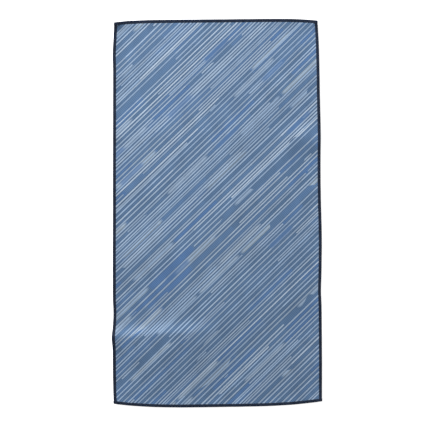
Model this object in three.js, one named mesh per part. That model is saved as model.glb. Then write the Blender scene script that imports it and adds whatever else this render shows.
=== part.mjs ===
// A quick-dry travel towel, lying open on a flat surface with its printed face up.
//
// One thin microfibre cloth is bound on all four edges with folded tape, and each tape is
// lockstitched through tape, cloth and tape: a needle thread shows on the front and a bobbin thread
// on the back. The tapes of the long edges end under those of the short edges, as on the real thing,
// where the short edges are bound last. A blank care label is caught in the bottom seam, on the back.
//
// Units are millimetres. X runs across the towel, Y along it and +Z up. The origin is at the middle
// of the towel's box, on the surface that it lies on.
//
// Every piece is first drawn on the flat rectangle that the towel was sewn to. The function lay()
// then moves it to where the soft towel really lies, with its corners drawn in and its edges bowed.

import * as THREE from "three";

// ---- Driving dimensions ----

const WIDTH = 750; // edge to edge
const LENGTH = 1400;
const CLOTH_THICKNESS = 0.8;

const TAPE_WIDTH = 11; // of the folded tape, as it shows on each face
const TAPE_THICKNESS = 0.6; // of one leg: the tape with its raw edge turned in
const TAPE_TO_CLOTH = 0.05; // play between each leg and the cloth
const TAPE_TO_TAPE = 0.2; // play between the end of a long tape and a short edge's tape
const FOLD_DEPTH = 1; // from the tape's folded edge to the bottom of its slot
const CLOTH_INSET = 1.5; // from the tape's folded edge to the edge of the cloth inside it

const SEAM_INSET = 9; // from the tape's folded edge to the line of stitches
const SEAM_GROOVE_WIDTH = 0.8; // the stitches pull a shallow groove into the tape
const SEAM_GROOVE_DEPTH = 0.3;
const THREAD_WIDTH = 0.5;
const THREAD_THICKNESS = 0.22;
const THREAD_SINK = 0.03; // how far a thread's outer face lies below the face of the tape

const LABEL_WIDTH = 30;
const LABEL_LENGTH = 45; // of the part that shows beyond the tape
const LABEL_THICKNESS = 0.25;
const LABEL_ACROSS = 250; // from the towel's middle line to the label's
const LABEL_HEIGHT = 0.2; // of its lower face above the surface
const LABEL_TO_TAPE = 0.2;

// How far each corner of the laid towel is drawn in from the corner of the flat one, along X and Y.
const CORNER_INSET = {
  bottomLeft: [1.3, 13.2],
  bottomRight: [-1.2, 22.6],
  topLeft: [2.8, 12.9],
  topRight: [15, 6],
};

// How each edge bows outwards between its corners. A high flatness keeps the middle straight and
// rounds only the ends. A lean above 0 puts more of the bow towards +X or +Y.
const EDGE_BOW = {
  left: { height: 4.5, flatness: 10, lean: 0 },
  right: { height: 4.6, flatness: 8, lean: 0.5 },
  top: { height: 8.6, flatness: 7, lean: 0 },
  bottom: { height: 16.8, flatness: 3.6, lean: 0 },
};

// Steps that follow the bow along one edge.
const LONG_EDGE_STEPS = 40;
const SHORT_EDGE_STEPS = 36;
const FOLD_ARC_STEPS = 4;

// ---- Sizes that follow ----

const THICKNESS = 2 * (TAPE_THICKNESS + TAPE_TO_CLOTH) + CLOTH_THICKNESS;
const CLOTH_BOTTOM = TAPE_THICKNESS + TAPE_TO_CLOTH;
const LONG_TAPE_LENGTH = LENGTH - 2 * (TAPE_WIDTH + TAPE_TO_TAPE);

// The four edges, going round the towel. Each is drawn as the bottom edge, running along +X with the
// towel on its +Y side, and turned about Z into its place at reach from the middle.
const EDGES = {
  bottom: { turn: 0, reach: LENGTH / 2, length: WIDTH, steps: SHORT_EDGE_STEPS },
  right: { turn: 90, reach: WIDTH / 2, length: LONG_TAPE_LENGTH, steps: LONG_EDGE_STEPS },
  top: { turn: 180, reach: LENGTH / 2, length: WIDTH, steps: SHORT_EDGE_STEPS },
  left: { turn: 270, reach: WIDTH / 2, length: LONG_TAPE_LENGTH, steps: LONG_EDGE_STEPS },
};

// ---- Materials ----

function fabric(color, roughness) {
  return new THREE.MeshStandardMaterial({ color, roughness, metalness: 0 });
}

const PRINTED_CLOTH = fabric("#7690b0", 0.9);
const NAVY_TAPE = fabric("#212b3c", 0.8);
const NAVY_THREAD = fabric("#28344a", 0.6);
const WHITE_SATIN = fabric("#e8e8e4", 0.5);

// ---- From the flat rectangle to the laid towel ----

const CORNERS = {
  bottomLeft: laidCorner("bottomLeft", -1, -1),
  bottomRight: laidCorner("bottomRight", 1, -1),
  topLeft: laidCorner("topLeft", -1, 1),
  topRight: laidCorner("topRight", 1, 1),
};

function laidCorner(name, sideX, sideY) {
  const [insetX, insetY] = CORNER_INSET[name];
  return new THREE.Vector2(sideX * (WIDTH / 2 - insetX), sideY * (LENGTH / 2 - insetY));
}

// The outward bow of an edge at a share of its length, from 0 at one corner to 1 at the other.
function bow({ height, flatness, lean }, share) {
  const fromMiddle = 2 * share - 1;
  return height * (1 - Math.abs(fromMiddle) ** flatness) * (1 + lean * fromMiddle);
}

// The point at a share of the way from one corner to the next, moved outwards by the bow.
function edgePoint(start, end, outward, edgeBow, share) {
  const point = CORNERS[start].clone().lerp(CORNERS[end], share);
  return point.addScaledVector(outward, bow(edgeBow, share));
}

const OUTWARD = {
  left: new THREE.Vector2(-1, 0),
  right: new THREE.Vector2(1, 0),
  top: new THREE.Vector2(0, 1),
  bottom: new THREE.Vector2(0, -1),
};

const leftEdge = (v) => edgePoint("bottomLeft", "topLeft", OUTWARD.left, EDGE_BOW.left, v);
const rightEdge = (v) => edgePoint("bottomRight", "topRight", OUTWARD.right, EDGE_BOW.right, v);
const bottomEdge = (u) => edgePoint("bottomLeft", "bottomRight", OUTWARD.bottom, EDGE_BOW.bottom, u);
const topEdge = (u) => edgePoint("topLeft", "topRight", OUTWARD.top, EDGE_BOW.top, u);

// Where a point of the flat towel lies on the laid one: the Coons patch between the four edges.
function laidPoint(x, y) {
  const u = x / WIDTH + 0.5;
  const v = y / LENGTH + 0.5;
  const betweenSides = leftEdge(v).lerp(rightEdge(v), u);
  const betweenEnds = bottomEdge(u).lerp(topEdge(u), v);
  const bottomLine = CORNERS.bottomLeft.clone().lerp(CORNERS.bottomRight, u);
  const topLine = CORNERS.topLeft.clone().lerp(CORNERS.topRight, u);
  return betweenSides.add(betweenEnds).sub(bottomLine.lerp(topLine, v));
}

function lay(geometry) {
  const position = geometry.getAttribute("position");
  for (let i = 0; i < position.count; i += 1) {
    const { x, y } = laidPoint(position.getX(i), position.getY(i));
    position.setXY(i, x, y);
  }
  geometry.computeVertexNormals();
  return geometry;
}

// ---- Sections, drawn with x inwards from the towel's edge and y up ----

// The folded tape: two legs joined by a round fold, open towards the cloth, with a groove along the
// line of stitches on each face.
function tapeSection() {
  const foldRadius = THICKNESS / 2;
  const grooveOuter = SEAM_INSET - SEAM_GROOVE_WIDTH / 2;
  const grooveInner = SEAM_INSET + SEAM_GROOVE_WIDTH / 2;
  const section = new THREE.Shape();
  section.moveTo(TAPE_WIDTH, TAPE_THICKNESS);
  section.lineTo(TAPE_WIDTH, 0);
  section.lineTo(grooveInner, 0);
  section.lineTo(grooveInner, SEAM_GROOVE_DEPTH);
  section.lineTo(grooveOuter, SEAM_GROOVE_DEPTH);
  section.lineTo(grooveOuter, 0);
  section.absarc(foldRadius, foldRadius, foldRadius, -Math.PI / 2, Math.PI / 2, true);
  section.lineTo(grooveOuter, THICKNESS);
  section.lineTo(grooveOuter, THICKNESS - SEAM_GROOVE_DEPTH);
  section.lineTo(grooveInner, THICKNESS - SEAM_GROOVE_DEPTH);
  section.lineTo(grooveInner, THICKNESS);
  section.lineTo(TAPE_WIDTH, THICKNESS);
  section.lineTo(TAPE_WIDTH, THICKNESS - TAPE_THICKNESS);
  section.lineTo(FOLD_DEPTH, THICKNESS - TAPE_THICKNESS);
  section.lineTo(FOLD_DEPTH, TAPE_THICKNESS);
  return section;
}

// A row of stitches, drawn as one flat thread in its groove.
function threadSection(bottom) {
  const outer = SEAM_INSET - THREAD_WIDTH / 2;
  const inner = SEAM_INSET + THREAD_WIDTH / 2;
  const section = new THREE.Shape();
  section.moveTo(outer, bottom);
  section.lineTo(inner, bottom);
  section.lineTo(inner, bottom + THREAD_THICKNESS);
  section.lineTo(outer, bottom + THREAD_THICKNESS);
  return section;
}

// ---- Pieces ----

// A section run along one edge of the towel.
function alongEdge(section, { turn, reach, length, steps }) {
  const geometry = new THREE.ExtrudeGeometry(section, {
    depth: length,
    steps,
    curveSegments: FOLD_ARC_STEPS,
    bevelEnabled: false,
  });
  const inwards = new THREE.Vector3(0, 1, 0);
  const up = new THREE.Vector3(0, 0, 1);
  const along = new THREE.Vector3(1, 0, 0);
  geometry.translate(0, 0, -length / 2);
  geometry.applyMatrix4(new THREE.Matrix4().makeBasis(inwards, up, along));
  geometry.translate(0, -reach, 0);
  geometry.rotateZ(THREE.MathUtils.degToRad(turn));
  return lay(geometry);
}

// The cloth: its flat outline, with as many points along each side as the tapes have steps.
function clothGeometry() {
  const halfWidth = WIDTH / 2 - CLOTH_INSET;
  const halfLength = LENGTH / 2 - CLOTH_INSET;
  const corners = [
    new THREE.Vector2(-halfWidth, -halfLength),
    new THREE.Vector2(halfWidth, -halfLength),
    new THREE.Vector2(halfWidth, halfLength),
    new THREE.Vector2(-halfWidth, halfLength),
  ];
  const outline = corners.flatMap((corner, side) => {
    const next = corners[(side + 1) % corners.length];
    const steps = side % 2 === 0 ? SHORT_EDGE_STEPS : LONG_EDGE_STEPS;
    return Array.from({ length: steps }, (_, i) => corner.clone().lerp(next, i / steps));
  });
  const geometry = new THREE.ExtrudeGeometry(new THREE.Shape(outline), {
    depth: CLOTH_THICKNESS,
    bevelEnabled: false,
  });
  geometry.translate(0, 0, CLOTH_BOTTOM);
  return lay(geometry);
}

// The label lies under the cloth, with its top end against the tape of the bottom edge.
function labelGeometry() {
  const geometry = new THREE.BoxGeometry(LABEL_WIDTH, LABEL_LENGTH, LABEL_THICKNESS, 2, 2, 1);
  const nearEdge = -LENGTH / 2 + TAPE_WIDTH + LABEL_TO_TAPE;
  geometry.translate(LABEL_ACROSS, nearEdge + LABEL_LENGTH / 2, LABEL_HEIGHT + LABEL_THICKNESS / 2);
  return lay(geometry);
}

// ---- Assembly ----

const towel = new THREE.Group();

function addPiece(name, geometry, material) {
  const piece = new THREE.Mesh(geometry, material);
  piece.name = name;
  towel.add(piece);
}

addPiece("cloth_panel", clothGeometry(), PRINTED_CLOTH);
for (const [side, edge] of Object.entries(EDGES)) {
  const bobbinBottom = THREAD_SINK;
  const needleBottom = THICKNESS - THREAD_SINK - THREAD_THICKNESS;
  addPiece(`binding_tape_${side}`, alongEdge(tapeSection(), edge), NAVY_TAPE);
  addPiece(`needle_thread_${side}`, alongEdge(threadSection(needleBottom), edge), NAVY_THREAD);
  addPiece(`bobbin_thread_${side}`, alongEdge(threadSection(bobbinBottom), edge), NAVY_THREAD);
}
addPiece("care_label", labelGeometry(), WHITE_SATIN);

// The laid outline isn't symmetric, so the whole towel moves until its box is centred on the origin.
const middle = new THREE.Box3().setFromObject(towel).getCenter(new THREE.Vector3());
for (const piece of towel.children) {
  piece.geometry.translate(-middle.x, -middle.y, 0);
}

export default towel;
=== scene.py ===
"""A quick-dry travel towel, laid open on a white studio floor and seen straight from above.

The towel is one thin printed microfibre cloth, bound on its four edges with folded navy tape that is
lockstitched through. Every piece is first drawn on the flat rectangle that the towel was sewn to, in
flat coordinates a (across) and b (along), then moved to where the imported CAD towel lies, and lifted
by the soft relief of the laid cloth. Lengths are metres, with +Z up.
"""

import math

import bpy
import numpy as np
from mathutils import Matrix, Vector


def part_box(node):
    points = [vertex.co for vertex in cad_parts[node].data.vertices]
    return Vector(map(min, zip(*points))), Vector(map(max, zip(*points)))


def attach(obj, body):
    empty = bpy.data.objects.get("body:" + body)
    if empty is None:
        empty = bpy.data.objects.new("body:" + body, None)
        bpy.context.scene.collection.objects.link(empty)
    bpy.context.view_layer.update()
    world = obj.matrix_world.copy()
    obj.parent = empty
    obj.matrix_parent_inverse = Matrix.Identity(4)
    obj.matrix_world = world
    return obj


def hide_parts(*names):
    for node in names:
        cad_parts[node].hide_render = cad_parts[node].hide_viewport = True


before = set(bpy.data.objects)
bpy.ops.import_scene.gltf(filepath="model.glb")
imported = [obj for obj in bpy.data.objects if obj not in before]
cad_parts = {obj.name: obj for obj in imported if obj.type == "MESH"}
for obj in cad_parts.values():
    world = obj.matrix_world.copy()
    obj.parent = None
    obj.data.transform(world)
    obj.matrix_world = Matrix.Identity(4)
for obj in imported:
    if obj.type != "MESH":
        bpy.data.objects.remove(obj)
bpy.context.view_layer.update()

MM = 0.001

# ---- Driving dimensions ----

FLAT_WIDTH = 750 * MM
FLAT_LENGTH = 1400 * MM
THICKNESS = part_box("binding_tape_left")[1][2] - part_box("binding_tape_left")[0][2]

TAPE_WIDTH = 11 * MM

CLOTH_THICKNESS = 0.8 * MM
CLOTH_INSET = 1.5 * MM  # from the tape's fold to the cloth's own edge, inside it
CLOTH_STEP = 7 * MM  # of the grid of the cloth
CLOTH_SETTLE = 0.6 * MM  # how far the cloth drops to the floor once clear of the tape
CLOTH_SETTLE_FROM = TAPE_WIDTH
CLOTH_SETTLE_TO = 32 * MM

LEG_THICKNESS = 0.55 * MM
FOLD_DEPTH = 1 * MM
TAPE_STEP = 1 * MM
TAPE_CROWN = 0.12 * MM  # the tape puffs up between its fold and its seam
TAPE_WEAVE_PITCH = 0.9 * MM
SHORT_TAPE_REACH = 0.8 * MM  # how far a short tape's tucked end reaches past the long tape's fold
TUCK_POINTS = 20  # round the tucked end's section
TUCK_SQUARENESS = 0.35  # the power that makes that section a rounded rectangle: 1 is an ellipse
LONG_TAPE_SHORTFALL = 2 * MM  # a long tape ends this far short of the short edge, under its tape
CORNER_BULK = 0.5 * MM  # each leg of a short tape is pushed this far by the long tape's end
CORNER_BULK_FROM = TAPE_WIDTH
CORNER_BULK_TO = 24 * MM

SEAM_INSET = 9 * MM
SEAM_DIP = 0.24 * MM  # the stitches pull a groove into each leg
SEAM_DIP_WIDTH = 0.75 * MM
STITCH_PITCH = 3 * MM
THREAD_RADIUS = 0.19 * MM
THREAD_TWIST_PITCH = 0.45 * MM
STITCH_ARCH = 0.10 * MM  # how far a stitch's middle stands off the tape
STITCH_DIVE = 0.30 * MM  # how deep its ends go down into their holes
STITCH_SIDES = 6
STITCH_STATIONS = 7

LABEL_WIDTH = 30 * MM
LABEL_REACH = 45 * MM  # beyond the tape
LABEL_HIDDEN = 5 * MM  # caught inside the tape
LABEL_THICKNESS = 0.2 * MM
LABEL_HEM = 0.12 * MM
LABEL_STEP = 1.5 * MM
SATIN_PITCH = 0.5 * MM
LABEL_PLACE = (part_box("care_label")[0][0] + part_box("care_label")[1][0]) / 2  # its middle, across
LABEL_HOLD = 0.6  # the share of the cloth's settling that the label underneath takes away
LABEL_HOLD_FROM = 10 * MM  # this far beyond the label the hold starts to fade
LABEL_HOLD_TO = 30 * MM

FLOOR_SIZE = 40.0
FLOOR_GREY = (0.9, 0.9, 0.9, 1)
FLOOR_GLOW = 0.75  # the floor is a white sweep that is lit from below too
WORLD_LIGHT = 0.36
KEY_PLACE = (-3.4, 5.5, 2.2)
KEY_SIZE = 1.4
KEY_POWER = 1200

CAMERA_HEIGHT = 5.0
CAMERA_OFFSET = (-8.5 * MM, -7 * MM)
VIEW_WIDTH = 1.551  # of the floor that the picture shows
SENSOR = 36.0


# ---- From the flat rectangle to the laid towel ----

def fold_line(side, along):
    """The outermost points of a CAD tape's fold, in order along its edge. along is 0 for X, 1 for Y."""
    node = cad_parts[f"binding_tape_{side}"]
    points = np.array([vertex.co for vertex in node.data.vertices])
    on_fold = np.abs(points[:, 2] - THICKNESS / 2) < 0.02 * MM
    line = np.unique(np.round(points[on_fold, :2], 6), axis=0)
    return line[np.argsort(line[:, along])]


def with_corners(line, first, last):
    return np.vstack([first, line, last])


BOTTOM_LINE = fold_line("bottom", 0)
TOP_LINE = fold_line("top", 0)
LEFT_LINE = with_corners(fold_line("left", 1), BOTTOM_LINE[0], TOP_LINE[0])
RIGHT_LINE = with_corners(fold_line("right", 1), BOTTOM_LINE[-1], TOP_LINE[-1])


def on_line(line, share):
    """The point at a share of the way along an edge."""
    lengths = np.linalg.norm(np.diff(line, axis=0), axis=1)
    at = np.concatenate([[0.0], np.cumsum(lengths)])
    at /= at[-1]
    return np.stack([np.interp(share, at, line[:, axis]) for axis in (0, 1)], axis=-1)


def lay(a, b):
    """Where points of the flat towel lie: the Coons patch between the four edges of the CAD towel."""
    u = np.asarray(a) / FLAT_WIDTH + 0.5
    v = np.asarray(b) / FLAT_LENGTH + 0.5
    along_u, along_v = u[..., None], v[..., None]
    sides = on_line(LEFT_LINE, v) * (1 - along_u) + on_line(RIGHT_LINE, v) * along_u
    ends = on_line(BOTTOM_LINE, u) * (1 - along_v) + on_line(TOP_LINE, u) * along_v
    bottom = BOTTOM_LINE[0] * (1 - along_u) + BOTTOM_LINE[-1] * along_u
    top = TOP_LINE[0] * (1 - along_u) + TOP_LINE[-1] * along_u
    beyond_u = (u - np.clip(u, 0, 1))[..., None] * np.array([FLAT_WIDTH, 0])
    return sides + ends - bottom * (1 - along_v) - top * along_v + beyond_u


# ---- The soft relief of the laid cloth ----

def smooth(value, low, high):
    """From 0 at low to 1 at high, with level ends."""
    share = np.clip((value - low) / (high - low), 0, 1)
    return share * share * (3 - 2 * share)


# Ridges that start at an edge and die out inwards: place of the foot on the edge, direction of the
# crest in degrees, its length and height, its half widths on the +Y and on the -Y side at the foot,
# and how much wider the -Y side gets along the crest.
BUCKLES = [
    {
        "foot": (-0.377, -0.450), "heading": 3, "length": 0.46, "height": 9.4 * MM,
        "up": 0.027, "down": 0.045, "flare": 9.0,
    },
    {
        "foot": (0.374, 0.254), "heading": 172, "length": 0.18, "height": 4.4 * MM,
        "up": 0.042, "down": 0.034, "flare": 1.0,
    },
    {
        "foot": (-0.377, -0.160), "heading": 4, "length": 0.26, "height": 2.6 * MM,
        "up": 0.07, "down": 0.05, "flare": 0.5,
    },
    {
        "foot": (-0.377, 0.075), "heading": -6, "length": 0.14, "height": 1.8 * MM,
        "up": 0.05, "down": 0.03, "flare": 0.5,
    },
    {
        "foot": (0.376, -0.330), "heading": 176, "length": 0.22, "height": 1.8 * MM,
        "up": 0.05, "down": 0.05, "flare": 0.5,
    },
]
RIDGE_FADE_FROM = 0.42  # the share of a crest's length where it starts to die out
TAUT_HEIGHT = 12 * MM  # a buckle this tall would pull the smaller waves out of the cloth altogether

# Long soft waves over the whole cloth: direction in degrees, wavelength, phase and height.
WAVES = [
    {"heading": 62, "length": 0.43, "phase": 0.6, "height": 0.50 * MM},
    {"heading": 118, "length": 0.31, "phase": 2.1, "height": 0.36 * MM},
    {"heading": 17, "length": 0.24, "phase": 4.0, "height": 0.18 * MM},
    {"heading": 85, "length": 0.19, "phase": 5.2, "height": 0.16 * MM},
]

# Ripples along the bound edges, where the tape is tighter than the cloth: wavelength and phase.
RIPPLES = [
    {"length": 0.071, "phase": 0.4, "height": 0.34 * MM},
    {"length": 0.047, "phase": 1.9, "height": 0.22 * MM},
    {"length": 0.113, "phase": 3.3, "height": 0.40 * MM},
]
RIPPLE_REACH = 0.035

CORNER_CURL = 0.075  # how far in from a corner its curl starts
CURLS = {(-1, 1): 4.2 * MM, (1, 1): 2.2 * MM, (-1, -1): 2.4 * MM, (1, -1): 3.0 * MM}

# The buckles and ripples push the long edges out a little in some places and draw them in beside
# these: side of the towel, place along it, half width, and how far out.
PUSHES = [
    {"side": -1, "place": -0.450, "half": 0.027, "out": 3.2 * MM},
    {"side": -1, "place": -0.362, "half": 0.040, "out": -2.2 * MM},
    {"side": -1, "place": 0.575, "half": 0.045, "out": 2.0 * MM},
    {"side": 1, "place": 0.300, "half": 0.090, "out": 1.9 * MM},
    {"side": 1, "place": -0.085, "half": 0.110, "out": 2.6 * MM},
    {"side": 1, "place": -0.280, "half": 0.045, "out": -2.0 * MM},
]
PUSH_REACH = 0.06  # how far into the cloth a push is felt


def ridge(x, y, foot, heading, length, height, up, down, flare):
    turn = math.radians(heading)
    side = math.copysign(1, math.cos(turn))
    along = (x - foot[0]) * math.cos(turn) + (y - foot[1]) * math.sin(turn)
    across = side * ((y - foot[1]) * math.cos(turn) - (x - foot[0]) * math.sin(turn))
    share = np.clip(along / length, 0, 1)
    spread = np.where(across > 0, up * (1 + 0.3 * share), down * (1 + flare * share))
    return height * (1 - smooth(share, RIDGE_FADE_FROM, 1)) * np.exp(-((across / spread) ** 2))


def wave(x, y, heading, length, phase, height):
    turn = math.radians(heading)
    along = x * math.cos(turn) + y * math.sin(turn)
    return height * (1 + np.sin(2 * math.pi * along / length + phase))


def fade_inwards(inwards, reach):
    """From 1 at an edge and outside it down towards 0 well inside it."""
    return np.exp(-np.clip(inwards, 0, None) / reach)


def from_edges(a, b):
    """How far flat points are from the nearest long edge and the nearest short one."""
    return FLAT_WIDTH / 2 - np.abs(a), FLAT_LENGTH / 2 - np.abs(b)


def relief(a, b, x, y):
    """How far the towel stands off the floor at a point, not counting its own thickness."""
    buckled = sum(ridge(x, y, **buckle) for buckle in BUCKLES)
    height = sum(wave(x, y, **one) for one in WAVES)
    from_long, from_short = from_edges(a, b)
    for ripple in RIPPLES:
        turns = 2 * math.pi / ripple["length"]
        on_long = 1 + np.sin(turns * y + ripple["phase"] + 3 * np.sin(2.3 * y))
        on_short = 1 + np.sin(turns * x + ripple["phase"] + 3 * np.sin(3.1 * x))
        height = height + ripple["height"] * on_long * fade_inwards(from_long, RIPPLE_REACH)
        height = height + ripple["height"] * on_short * fade_inwards(from_short, RIPPLE_REACH)
    height = buckled + height * (1 - buckled / TAUT_HEIGHT)
    for (side_x, side_y), lift in CURLS.items():
        away = np.hypot(a - side_x * FLAT_WIDTH / 2, b - side_y * FLAT_LENGTH / 2)
        height = height + lift * (1 - smooth(away, 0, CORNER_CURL)) ** 1.5
    return height


def corner_bulk(a, b):
    """How far the extra layers at a corner lift the middle of the towel there."""
    from_long, from_short = from_edges(a, b)
    near_long = 1 - smooth(from_long, CORNER_BULK_FROM, CORNER_BULK_TO)
    near_short = 1 - smooth(from_short, CORNER_BULK_FROM, CORNER_BULK_TO)
    return CORNER_BULK * near_long * near_short


def pushed(a, y, side, place, half, out):
    """How far a push at a long edge moves points across the towel."""
    inwards = FLAT_WIDTH / 2 - side * a
    return side * out * np.exp(-(((y - place) / half) ** 2)) * fade_inwards(inwards, PUSH_REACH)


def place(a, b, z):
    """Points of the laid towel, from flat coordinates and the height above the towel's lowest layer."""
    a, b, z = (np.asarray(value, float) for value in (a, b, z))
    laid = lay(a, b)
    x, y = laid[..., 0], laid[..., 1]
    x = x + sum(pushed(a, y, **push) for push in PUSHES)
    return np.stack([x, y, z + relief(a, b, x, y)], axis=-1)


# ---- Mesh helpers ----

def make_piece(name, points, faces, materials, face_materials=None):
    mesh = bpy.data.meshes.new(name)
    mesh.from_pydata(np.asarray(points).tolist(), [], faces)
    for material in materials:
        mesh.materials.append(material)
    if face_materials is not None:
        mesh.polygons.foreach_set("material_index", face_materials)
    mesh.polygons.foreach_set("use_smooth", [True] * len(mesh.polygons))
    mesh.validate()
    piece = bpy.data.objects.new(name, mesh)
    bpy.context.collection.objects.link(piece)
    return piece


def grid_faces(rows, columns, first=0, flip=False):
    """Quads between rows by columns points that are numbered row by row."""
    faces = []
    for row in range(rows - 1):
        for column in range(columns - 1):
            corner = first + row * columns + column
            quad = [corner, corner + 1, corner + columns + 1, corner + columns]
            faces.append(quad[::-1] if flip else quad)
    return faces


def tube_faces(stations, sides, first=0):
    """Quads round a closed section that is repeated station by station, with a cap at each end."""
    faces = []
    for station in range(stations - 1):
        for side in range(sides):
            here = first + station * sides
            after = (side + 1) % sides
            faces.append([here + side, here + after, here + sides + after, here + sides + side])
    last = first + (stations - 1) * sides
    faces.append([first + side for side in reversed(range(sides))])
    faces.append([last + side for side in range(sides)])
    return faces


def slab(name, front, back, rows, columns, materials):
    """A thin closed sheet between two grids of points: materials are for its front, back and rim."""
    count = rows * columns
    faces = grid_faces(rows, columns)
    face_materials = [0] * len(faces)
    back_faces = grid_faces(rows, columns, first=count, flip=True)
    faces += back_faces
    face_materials += [1] * len(back_faces)
    rim = list(range(columns))
    rim += [row * columns + columns - 1 for row in range(1, rows)]
    rim += [(rows - 1) * columns + column for column in range(columns - 2, -1, -1)]
    rim += [row * columns for row in range(rows - 2, 0, -1)]
    for here, after in zip(rim, rim[1:] + rim[:1]):
        faces.append([after, here, here + count, after + count])
        face_materials.append(1)
    points = np.vstack([front.reshape(-1, 3), back.reshape(-1, 3)])
    return make_piece(name, points, faces, materials, face_materials)


# ---- Material helpers ----

class Graph:
    """A material's node tree, built by plain calls: numbers or sockets go in, and a socket comes out."""

    def __init__(self, name):
        self.material = bpy.data.materials.new(name)
        self.material.use_nodes = True
        self.tree = self.material.node_tree
        self.shader = self.tree.nodes["Principled BSDF"]
        self.position = self.node("ShaderNodeTexCoord").outputs["Object"]

    def node(self, kind, **settings):
        made = self.tree.nodes.new(kind)
        for key, value in settings.items():
            setattr(made, key, value)
        return made

    def put(self, value, socket):
        if isinstance(value, bpy.types.NodeSocket):
            self.tree.links.new(value, socket)
        else:
            socket.default_value = value

    def math(self, operation, *values):
        made = self.node("ShaderNodeMath", operation=operation)
        for value, socket in zip(values, made.inputs):
            self.put(value, socket)
        return made.outputs[0]

    def add(self, first, second):
        return self.math("ADD", first, second)

    def times(self, first, second):
        return self.math("MULTIPLY", first, second)

    def ramp(self, value, low, high, to_low=0.0, to_high=1.0):
        """value taken smoothly, and clamped, from the range low to high to another range."""
        made = self.node("ShaderNodeMapRange", interpolation_type="SMOOTHSTEP")
        for number, entry in enumerate((value, low, high, to_low, to_high)):
            self.put(entry, made.inputs[number])
        return made.outputs[0]

    def vector(self, x, y, z=0.0):
        made = self.node("ShaderNodeCombineXYZ")
        for value, socket in zip((x, y, z), made.inputs):
            self.put(value, socket)
        return made.outputs[0]

    def split(self, vector):
        made = self.node("ShaderNodeSeparateXYZ")
        self.put(vector, made.inputs[0])
        return made.outputs[0], made.outputs[1], made.outputs[2]

    def random(self, x, y, seed):
        """A random number from 0 to 1 for each whole x and y."""
        made = self.node("ShaderNodeTexWhiteNoise", noise_dimensions="3D")
        self.put(self.vector(x, y, seed), made.inputs["Vector"])
        return made.outputs["Value"]

    def noise(self, size, detail=2.0, roughness=0.5, vector=None, seed=0.0):
        """Soft noise around 0.5 whose lumps are about size across."""
        made = self.node("ShaderNodeTexNoise", noise_dimensions="4D")
        self.put(self.position if vector is None else vector, made.inputs["Vector"])
        made.inputs["W"].default_value = seed
        made.inputs["Scale"].default_value = 1 / size
        made.inputs["Detail"].default_value = detail
        made.inputs["Roughness"].default_value = roughness
        return made.outputs[0]

    def mix(self, share, first, second):
        made = self.node("ShaderNodeMix", data_type="RGBA")
        colours = [socket for socket in made.inputs if socket.type == "RGBA"]
        self.put(share, made.inputs[0])
        self.put(first, colours[0])
        self.put(second, colours[1])
        return next(socket for socket in made.outputs if socket.type == "RGBA")

    def brighten(self, colour, factor):
        made = self.node("ShaderNodeHueSaturation")
        self.put(factor, made.inputs["Value"])
        self.put(colour, made.inputs["Color"])
        return made.outputs[0]

    def bump(self, height, distance, strength=1.0, below=None):
        made = self.node("ShaderNodeBump")
        made.inputs["Strength"].default_value = strength
        made.inputs["Distance"].default_value = distance
        self.put(height, made.inputs["Height"])
        if below is not None:
            self.put(below, made.inputs["Normal"])
        return made.outputs[0]

    def finish(self, colour, roughness, normal, **constants):
        self.put(colour, self.shader.inputs["Base Color"])
        self.put(roughness, self.shader.inputs["Roughness"])
        self.put(normal, self.shader.inputs["Normal"])
        for name, value in constants.items():
            self.shader.inputs[name.replace("_", " ")].default_value = value
        return self.material


MATT = {"Specular_IOR_Level": 0.15}  # the gloss of the cloth and the tape


# ---- The cloth's print and nap ----

STRIPE_ANGLE = math.radians(44)  # above the X axis, rising to the right
STRIPE_REPEAT = 28.2 * MM  # across the stripes: two stripes, then a gap that may hold a third
GAP_PLACE = 19.7 * MM  # the middle of that gap
STRIPE_WIDTH = 4.9 * MM
SHADOW_WIDTH = 9.0 * MM
FILL_WIDTH = 13.0 * MM
BLANK_WIDTH = 16.0 * MM
GAP_FADE = 22 * MM  # a filled or blank gap fades out over this much at each end
TICK_PITCH = 6.0 * MM  # of the dark ticks across the ground
THREAD_PITCH = 4.8 * MM  # of the fine lines along it
KNIT_PITCH = 1.9 * MM
CROWDING = 22 * MM  # the range of the shifts by which the stripes crowd together and spread out
FILL_STRENGTH = 0.68
SHADOW_STRENGTH = 0.72
BLANK_STRENGTH = 0.7

# The sets of broken stripes: the seed of each one's random numbers, its place in the repeat, the
# length of its dashes, how much its lines wander from their place, as a share of the repeat, and
# the length over which its dashes fade out at both ends, where they do.
FIRST = {"seed": 11.0, "place": 0.0, "dash_length": 1.13}
SECOND = {"seed": 29.0, "place": 11.0 * MM, "dash_length": 0.71, "wander": 0.18}
THIRD = {"seed": 81.0, "place": GAP_PLACE, "dash_length": 0.36}
FILL = {"seed": 33.0, "place": GAP_PLACE, "dash_length": 0.21, "fade": GAP_FADE}
BLANK = {"seed": 53.0, "place": GAP_PLACE, "dash_length": 0.13, "fade": GAP_FADE}

PRINT_BLUE = (0.090, 0.161, 0.282, 1)
PRINT_CLEAR_BLUE = (0.075, 0.150, 0.303, 1)
PRINT_SLATE = (0.047, 0.084, 0.149, 1)
PRINT_PALE = (0.251, 0.354, 0.508, 1)
PRINT_CREAM = (0.298, 0.380, 0.490, 1)
PRINT_LAVENDER = (0.232, 0.312, 0.425, 1)
PRINT_BEIGE = (0.300, 0.348, 0.362, 1)
PRINT_BRIGHT = (0.360, 0.440, 0.545, 1)
REVERSE_BLUE = (0.46, 0.56, 0.68, 1)
REVERSE_GHOST = 0.24  # how much of the print shows through on the back

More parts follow.
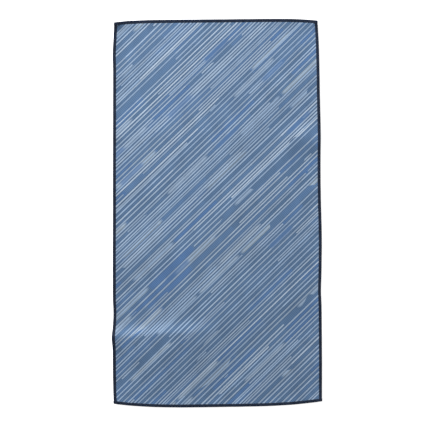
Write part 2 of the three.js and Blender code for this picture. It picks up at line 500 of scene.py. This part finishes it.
TAPE_NAVY = (0.005, 0.010, 0.024, 1)
TAPE_NAVY_PALE = (0.010, 0.018, 0.040, 1)
TAPE_NAVY_RUBBED = (0.022, 0.034, 0.062, 1)
THREAD_NAVY = (0.010, 0.018, 0.040, 1)
THREAD_NAVY_PALE = (0.018, 0.030, 0.060, 1)
SATIN_SHADE = (0.74, 0.74, 0.71, 1)
SATIN_WHITE = (0.84, 0.84, 0.82, 1)


def stripe_set(g, along, across, chance, seed, place, dash_length, wander=0.07, fade=None):
    """One set of broken stripes, one stripe in each repeat: how far each point is from its stripe's
    middle line, how strongly the stripe is drawn there, and a random number for each dash. chance
    is the share of the dashes that are drawn."""
    lane_at = g.math("DIVIDE", g.add(across, -place), STRIPE_REPEAT)
    lane = g.math("FLOOR", lane_at)
    aside = g.times(g.add(g.random(lane, 0.0, seed), -0.5), wander)
    from_line = g.math("ABSOLUTE", g.add(g.add(g.math("FRACT", lane_at), aside), -0.5))
    start = g.times(g.random(lane, 2.0, seed), 31.0)
    dash_at = g.add(g.math("DIVIDE", along, dash_length), start)
    dash = g.math("FLOOR", dash_at)
    drawn = g.math("LESS_THAN", g.random(lane, dash, seed + 1.0), chance)
    if fade:
        from_middle = g.math("ABSOLUTE", g.add(g.math("FRACT", dash_at), -0.5))
        half = dash_length / 2
        ends = g.ramp(g.times(from_middle, dash_length), half - fade, half, 1.0, 0.0)
        drawn = g.times(drawn, ends)
    return g.times(from_line, STRIPE_REPEAT), drawn, g.random(lane, dash, seed + 2.0)


def band(g, stripe, width, soft=0.4 * MM):
    """A mask that is 1 within width of a set's drawn stripes."""
    from_line, drawn, _ = stripe
    half = width / 2
    return g.times(g.ramp(from_line, half - soft, half + soft, 1.0, 0.0), drawn)


def print_colour(g):
    """The print: a blue ground under broken pale stripes with slate shadow lines, all on one slant."""
    x, y, _ = g.split(g.position)
    cos, sin = math.cos(STRIPE_ANGLE), math.sin(STRIPE_ANGLE)
    along = g.add(g.times(x, cos), g.times(y, sin))
    straight = g.add(g.times(y, cos), g.times(x, -sin))
    # The stripes crowd together and spread out a little from place to place.
    crowding = g.noise(0.15, detail=1.0, vector=g.vector(straight, g.times(along, 0.08)), seed=3.0)
    across = g.add(straight, g.times(g.add(crowding, -0.5), CROWDING))
    patches = g.noise(0.22, detail=2.0, vector=g.vector(g.times(along, 0.4), straight), seed=6.0)
    busy = g.ramp(patches, 0.36, 0.64, -0.13, 0.15)

    first = stripe_set(g, along, across, 0.975, **FIRST)
    second = stripe_set(g, along, across, g.add(g.times(busy, 0.4), 0.92), **SECOND)
    third = stripe_set(g, along, across, g.add(busy, 0.26), **THIRD)
    fill = stripe_set(g, along, across, g.add(g.times(busy, 0.6), 0.15), **FILL)
    blank = stripe_set(g, along, across, 0.025, **BLANK)

    ticks = g.math("SINE", g.times(along, 2 * math.pi / TICK_PITCH))
    threads = g.math("SINE", g.times(across, 2 * math.pi / THREAD_PITCH))
    colour = g.mix(g.ramp(fill[2], 0.55, 0.9), PRINT_BLUE, PRINT_CLEAR_BLUE)
    colour = g.brighten(colour, g.ramp(fill[2], 0.2, 0.8, 0.92, 1.05))
    colour = g.brighten(colour, g.ramp(threads, -1.0, 0.2, 0.92, 1.02))
    fill_colour = g.mix(g.ramp(fill[2], 0.3, 0.6), PRINT_LAVENDER, PRINT_BEIGE)
    fill_colour = g.brighten(fill_colour, g.ramp(threads, -1.0, 0.2, 0.72, 1.06))
    colour = g.mix(g.times(band(g, fill, FILL_WIDTH), FILL_STRENGTH), colour, fill_colour)
    colour = g.brighten(colour, g.ramp(ticks, -0.6, 0.6, 0.80, 1.13))
    for stripe in (first, second, third):
        share = g.times(band(g, stripe, SHADOW_WIDTH, soft=0.7 * MM), SHADOW_STRENGTH)
        colour = g.mix(share, colour, PRINT_SLATE)
    for stripe in (first, second, third, fill):
        share = g.times(band(g, stripe, STRIPE_WIDTH), g.ramp(stripe[2], 0.0, 1.0, 0.70, 1.0))
        tint = g.math("FRACT", g.times(stripe[2], 7.0))
        pale = g.mix(tint, PRINT_PALE, PRINT_CREAM)
        pale = g.mix(g.ramp(stripe[2], 0.90, 0.97, 0.0, 0.8), pale, PRINT_BRIGHT)
        colour = g.mix(share, colour, pale)
    return g.mix(g.times(band(g, blank, BLANK_WIDTH), BLANK_STRENGTH), colour, PRINT_CLEAR_BLUE)


def nap_patches_and_sheen(g):
    """Where the nap lies one way or the other: soft patches, drawn out along the towel. In the colour
    they are painted sheen, lighter and darker where the nap would catch the light or not; the roughness
    they give is the nap's own.
    """
    x, y, _ = g.split(g.position)
    return g.noise(0.05, detail=4.0, roughness=0.6, vector=g.vector(x, g.times(y, 0.55)), seed=21.0)


def knit_height(g, pitch):
    """The fine knit: ribs along the towel, crossed by the rows of loops."""
    x, y, _ = g.split(g.position)
    turns = 2 * math.pi / pitch
    ribs = g.math("SINE", g.times(x, turns))
    rows = g.math("SINE", g.times(y, turns * 0.8))
    fuzz = g.noise(1.1 * MM, detail=2.0, seed=5.0)
    return g.add(g.times(g.add(ribs, rows), 0.2), fuzz)


def cloth_normal(g):
    fine = g.bump(knit_height(g, KNIT_PITCH), 0.12 * MM, strength=0.5)
    return g.bump(g.noise(7 * MM, detail=3.0, seed=9.0), 0.35 * MM, strength=0.5, below=fine)


def front_material():
    g = Graph("printed_front")
    nap_and_sheen = nap_patches_and_sheen(g)
    # Painted sheen: the nap patches lighten and darken the print.
    colour = g.brighten(print_colour(g), g.ramp(nap_and_sheen, 0.25, 0.75, 0.92, 1.08))
    roughness = g.ramp(nap_and_sheen, 0.3, 0.7, 0.82, 0.95)
    return g.finish(colour, roughness, cloth_normal(g), Sheen_Weight=0.03, Sheen_Roughness=0.5, **MATT)


def back_material():
    g = Graph("unprinted_back")
    nap_and_sheen = nap_patches_and_sheen(g)
    ghost = g.mix(REVERSE_GHOST, REVERSE_BLUE, print_colour(g))
    # Painted sheen: the nap patches lighten and darken the back's colour.
    colour = g.brighten(ghost, g.ramp(nap_and_sheen, 0.25, 0.75, 0.93, 1.06))
    roughness = g.ramp(nap_and_sheen, 0.3, 0.7, 0.86, 0.97)
    return g.finish(colour, roughness, cloth_normal(g), Sheen_Weight=0.05, Sheen_Roughness=0.5, **MATT)


def tape_material():
    g = Graph("navy_tape")
    x, y, _ = g.split(g.position)
    turns = 2 * math.pi / TAPE_WEAVE_PITCH
    weave = g.times(g.math("SINE", g.times(x, turns)), g.math("SINE", g.times(y, turns)))
    tone = g.noise(12 * MM, detail=4.0, seed=2.0)
    rubbed = g.times(g.ramp(g.noise(4 * MM, detail=3.0, seed=6.0), 0.5, 0.75), 0.35)
    navy = g.mix(g.ramp(tone, 0.3, 0.7), TAPE_NAVY, TAPE_NAVY_PALE)
    colour = g.mix(rubbed, navy, TAPE_NAVY_RUBBED)
    normal = g.bump(g.add(weave, g.times(tone, 0.6)), 0.10 * MM, strength=0.6)
    roughness = g.ramp(tone, 0.3, 0.7, 0.75, 0.9)
    return g.finish(colour, roughness, normal, Sheen_Weight=0.04, Sheen_Roughness=0.5, **MATT)


def thread_material():
    g = Graph("navy_thread")
    x, y, z = g.split(g.position)
    turns = 2 * math.pi / THREAD_TWIST_PITCH
    twist = g.math("SINE", g.times(g.add(g.add(x, y), z), turns))
    tone = g.noise(9 * MM, detail=2.0, seed=14.0)
    colour = g.mix(g.ramp(tone, 0.3, 0.7), THREAD_NAVY, THREAD_NAVY_PALE)
    normal = g.bump(twist, 0.05 * MM, strength=0.7)
    return g.finish(colour, g.ramp(tone, 0.3, 0.7, 0.45, 0.6), normal, Sheen_Weight=0.1)


def label_material():
    g = Graph("label_satin")
    x, y, _ = g.split(g.position)
    floats = g.math("SINE", g.times(x, 2 * math.pi / SATIN_PITCH))
    slubs = g.noise(3 * MM, detail=3.0, vector=g.vector(x, g.times(y, 0.2)), seed=17.0)
    colour = g.mix(g.ramp(slubs, 0.3, 0.7), SATIN_SHADE, SATIN_WHITE)
    normal = g.bump(g.add(g.times(floats, 0.4), slubs), 0.05 * MM, strength=0.6)
    return g.finish(colour, g.ramp(slubs, 0.3, 0.7, 0.32, 0.5), normal, Sheen_Weight=0.1)


# ---- Pieces ----

def steps(start, end, step):
    return np.linspace(start, end, max(2, round(abs(end - start) / step) + 1))


def over_label(a, b):
    """From 1 over the label and just beyond it down to 0 further away."""
    beyond_side = np.abs(a - LABEL_PLACE) - LABEL_WIDTH / 2
    beyond_end = b + FLAT_LENGTH / 2 - TAPE_WIDTH - LABEL_REACH
    near_side = 1 - smooth(beyond_side, LABEL_HOLD_FROM, LABEL_HOLD_TO)
    near_end = 1 - smooth(beyond_end, LABEL_HOLD_FROM, LABEL_HOLD_TO)
    return near_side * near_end


def make_cloth():
    half_width = FLAT_WIDTH / 2 - CLOTH_INSET
    half_length = FLAT_LENGTH / 2 - CLOTH_INSET
    across = steps(-half_width, half_width, CLOTH_STEP)
    along = steps(-half_length, half_length, CLOTH_STEP)
    a, b = np.meshgrid(across, along)
    nearest = np.minimum(*from_edges(a, b))
    settled = CLOTH_SETTLE * smooth(nearest, CLOTH_SETTLE_FROM, CLOTH_SETTLE_TO)
    settled = settled * (1 - LABEL_HOLD * over_label(a, b))
    middle = THICKNESS / 2 - settled + corner_bulk(a, b)
    front = place(a, b, middle + CLOTH_THICKNESS / 2)
    back = place(a, b, middle - CLOTH_THICKNESS / 2)
    materials = [front_material(), back_material()]
    return slab("printed_cloth", front, back, len(along), len(across), materials)


def seam_dip(inwards):
    return SEAM_DIP * np.exp(-(((inwards - SEAM_INSET) / SEAM_DIP_WIDTH) ** 2))


def tape_section():
    """The folded tape's section, as inward distances and heights, and what each point belongs to: 1 on
    the upper leg's outer face, -1 on the lower one's, 0 elsewhere."""
    by_seam = SEAM_INSET + np.array([1.7, 1.2, 0.7, 0.35, 0, -0.35, -0.7]) * MM
    face = np.concatenate([by_seam, np.linspace(SEAM_INSET - 1.5 * MM, 2 * MM, 4)])
    fold_radius = THICKNESS / 2
    turn = np.radians([-70, -45, -15, 15, 45, 70])
    fold = np.stack([fold_radius * (1 - np.cos(turn)), fold_radius * (1 + np.sin(turn))], axis=1)
    end = TAPE_WIDTH
    low = [[end, LEG_THICKNESS / 2], [end - 0.15 * MM, 0.06 * MM]]
    low += [[inwards, 0] for inwards in face]
    high = [[inwards, THICKNESS] for inwards in face[::-1]]
    high += [[end - 0.15 * MM, THICKNESS - 0.06 * MM], [end, THICKNESS - LEG_THICKNESS / 2]]
    slot = [
        [end - 0.2 * MM, THICKNESS - LEG_THICKNESS],
        [FOLD_DEPTH, THICKNESS - LEG_THICKNESS],
        [FOLD_DEPTH, LEG_THICKNESS],
        [end - 0.2 * MM, LEG_THICKNESS],
    ]
    section = np.array(low + fold.tolist() + high + slot)
    which = [0, 0] + [-1] * len(face) + [0] * len(fold) + [1] * len(face) + [0] * (2 + len(slot))
    return section[:, 0], section[:, 1], np.array(which)


def edge_point(side, along, inwards):
    """Flat coordinates of a point of one edge, from its place along the edge and inwards from it."""
    if side == "bottom":
        return along, -FLAT_LENGTH / 2 + inwards
    if side == "right":
        return FLAT_WIDTH / 2 - inwards, along
    if side == "top":
        return -along, FLAT_LENGTH / 2 - inwards
    return -FLAT_WIDTH / 2 + inwards, -along


def is_short(side):
    return side in ("bottom", "top")


def tape_half_length(side):
    if is_short(side):
        return FLAT_WIDTH / 2
    return FLAT_LENGTH / 2 - LONG_TAPE_SHORTFALL


def layer_lift(side, a, b, upper):
    """How a leg of a tape is lifted at the corners. A short tape opens round the end of the long one,
    which lies in the middle."""
    bulk = corner_bulk(a, b)
    if is_short(side):
        return np.where(upper, 2 * bulk, 0)
    return bulk


def pull(along):
    """How deep the seam's groove is: 1 at the hole at each end of a stitch, and less between them."""
    at_hole = 0.5 + 0.5 * np.cos(2 * math.pi * along / STITCH_PITCH)
    return 0.6 + 0.4 * at_hole


def make_tape(side, material):
    inwards, height, which = tape_section()
    half = tape_half_length(side)
    along = steps(-half, half, TAPE_STEP)
    s, p = np.meshgrid(along, inwards, indexing="ij")
    z = np.broadcast_to(height, s.shape)
    dip = seam_dip(p) * pull(s)
    crown = TAPE_CROWN * np.sin(np.clip(p / SEAM_INSET, 0, 1) * math.pi)
    z = np.where(which == 1, z - dip + crown, np.where(which == -1, z + dip, z))
    a, b = edge_point(side, s, p)
    z = z + layer_lift(side, a, b, height > THICKNESS / 2)
    points = place(a, b, z).reshape(-1, 3)
    faces = tube_faces(len(along), len(inwards))
    if is_short(side):
        for end in (-1, 1):
            tuck, tuck_faces = tucked_end(side, end * half, end, first=len(points))
            points = np.vstack([points, tuck])
            faces += tuck_faces
    return make_piece(f"tape_{side}", points, faces, [material])


def tucked_end(side, start, direction, first):
    """The end of a short tape, turned in over the long tape's fold: a rounded closed end."""
    full = THICKNESS + 2 * CORNER_BULK
    turn = np.linspace(0, 2 * math.pi, TUCK_POINTS, endpoint=False)
    across = np.sign(np.cos(turn)) * np.abs(np.cos(turn)) ** TUCK_SQUARENESS
    up = np.sign(np.sin(turn)) * np.abs(np.sin(turn)) ** TUCK_SQUARENESS
    rings = []
    for share in (0.0, 0.45, 0.8, 1.0):
        shrink = math.sqrt(1 - share**2) * 0.45 + 0.55
        p = TAPE_WIDTH / 2 + across * (TAPE_WIDTH / 2 - (1 - shrink) * THICKNESS)
        z = full / 2 + up * full / 2 * shrink
        s = np.full(TUCK_POINTS, start + direction * SHORT_TAPE_REACH * share)
        a, b = edge_point(side, s, p)
        rings.append(place(a, b, z))
    order = rings if direction > 0 else rings[::-1]
    return np.vstack(order), tube_faces(len(rings), TUCK_POINTS, first)


def make_stitches(side, name, upper, material, seed):
    """One row of stitches: each is a short thread that rises out of one hole and dives into the next."""
    random = np.random.default_rng(seed)
    half = tape_half_length(side) - STITCH_PITCH
    centres = np.arange(-half, half, STITCH_PITCH) + STITCH_PITCH / 2
    centres = (np.floor(centres / STITCH_PITCH) + 0.5) * STITCH_PITCH
    count = len(centres)
    share = np.linspace(-1, 1, STITCH_STATIONS)
    turn = np.linspace(0, 2 * math.pi, STITCH_SIDES, endpoint=False)
    slant = 0.10 * MM + random.normal(0, 0.03 * MM, count)
    stray = random.normal(0, 0.04 * MM, count)
    radius = THREAD_RADIUS * random.uniform(0.93, 1.07, count)

    s = centres[:, None, None] + share[None, :, None] * STITCH_PITCH * 0.49
    p = SEAM_INSET + stray[:, None, None] + slant[:, None, None] * share[None, :, None]
    p = p + radius[:, None, None] * np.cos(turn)
    arch = STITCH_ARCH * (1 - share**4) - STITCH_DIVE * share**8
    face = SEAM_DIP * pull(s)
    rise = arch[None, :, None] - face + radius[:, None, None] * np.sin(turn)
    z = THICKNESS + rise if upper else np.clip(-rise * 0.8, 0.02 * MM, None)
    s = np.broadcast_to(s, p.shape)
    a, b = edge_point(side, s, p)
    z = z + layer_lift(side, a, b, upper)
    points = place(a, b, z).reshape(-1, 3)
    faces = []
    for stitch in range(count):
        faces += tube_faces(STITCH_STATIONS, STITCH_SIDES, first=stitch * STITCH_STATIONS * STITCH_SIDES)
    return make_piece(name, points, faces, [material])


def make_label(material):
    edge = -FLAT_LENGTH / 2 + TAPE_WIDTH
    across = steps(LABEL_PLACE - LABEL_WIDTH / 2, LABEL_PLACE + LABEL_WIDTH / 2, LABEL_STEP)
    along = steps(edge - LABEL_HIDDEN, edge + LABEL_REACH, LABEL_STEP)
    a, b = np.meshgrid(across, along)
    beyond = np.clip(b - edge, 0, None) / LABEL_REACH
    hem = LABEL_HEM * smooth(beyond, 0.94, 0.97)
    inside_tape = LEG_THICKNESS + 0.01 * MM
    under_cloth = 0.03 * MM + 0.02 * MM * np.sin(a / (4 * MM))
    base = inside_tape + (under_cloth - inside_tape) * smooth(b - edge, 0, 8 * MM)
    top = place(a, b, base + LABEL_THICKNESS * 0.4 + hem)
    bottom = place(a, b, base)
    return slab("care_label_blank", top, bottom, len(along), len(across), [material, material])


# ---- Floor, light and camera ----

def make_floor():
    g = Graph("studio_floor")
    tone = g.ramp(g.noise(0.6), 0.3, 0.7, 0.995, 1.0)
    colour = g.brighten(FLOOR_GREY, tone)
    normal = g.bump(g.noise(0.02), 0.02 * MM, strength=0.2)
    material = g.finish(colour, 0.9, normal, Emission_Color=(1, 1, 1, 1), Emission_Strength=FLOOR_GLOW)
    half = FLOOR_SIZE / 2
    corners = [(-half, -half, 0), (half, -half, 0), (half, half, 0), (-half, half, 0)]
    floor = make_piece("studio_floor", np.array(corners), [[0, 1, 2, 3]], [material])


def make_light(name, place_at, aim, size, power):
    data = bpy.data.lights.new(name, "AREA")
    data.shape = "DISK"
    data.size = size
    data.energy = power
    light = bpy.data.objects.new(name, data)
    bpy.context.collection.objects.link(light)
    light.location = place_at
    direction = np.array(aim) - np.array(place_at)
    light.rotation_euler = Vector(direction.tolist()).to_track_quat("-Z", "Y").to_euler()


def make_world(strength):
    """A backdrop that lights the towel softly from all round, and that the camera sees as plain white."""
    world = bpy.data.worlds.new("studio_world")
    world.use_nodes = True
    nodes, links = world.node_tree.nodes, world.node_tree.links
    background = nodes["Background"]
    background.inputs["Color"].default_value = (1, 1, 1, 1)
    level = nodes.new("ShaderNodeMapRange")
    level.inputs["To Min"].default_value = strength
    level.inputs["To Max"].default_value = 1.0
    links.new(nodes.new("ShaderNodeLightPath").outputs["Is Camera Ray"], level.inputs["Value"])
    links.new(level.outputs["Result"], background.inputs["Strength"])
    bpy.context.scene.world = world


def make_camera():
    data = bpy.data.cameras.new("camera")
    data.sensor_width = SENSOR
    data.lens = SENSOR * CAMERA_HEIGHT / VIEW_WIDTH
    camera = bpy.data.objects.new("camera", data)
    bpy.context.collection.objects.link(camera)
    camera.location = (*CAMERA_OFFSET, CAMERA_HEIGHT)
    bpy.context.scene.camera = camera


# ---- Assembly ----

def add(piece, nodes):
    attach(piece, "root")
    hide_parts(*nodes)
    return piece


make_camera()
make_floor()
make_world(WORLD_LIGHT)
make_light("key", KEY_PLACE, (0, 0, 0), KEY_SIZE, KEY_POWER)
bpy.context.scene.view_settings.view_transform = "Standard"

cloth = add(make_cloth(), ["cloth_panel"])
tape = tape_material()
thread = thread_material()
for number, side in enumerate(("left", "right", "top", "bottom")):
    add(make_tape(side, tape), [f"binding_tape_{side}"])
    for kind, upper in (("needle", True), ("bobbin", False)):
        name = f"{kind}_stitches_{side}"
        row = make_stitches(side, name, upper, thread, seed=40 + 2 * number + upper)
        add(row, [f"{kind}_thread_{side}"])
add(make_label(label_material()), ["care_label"])
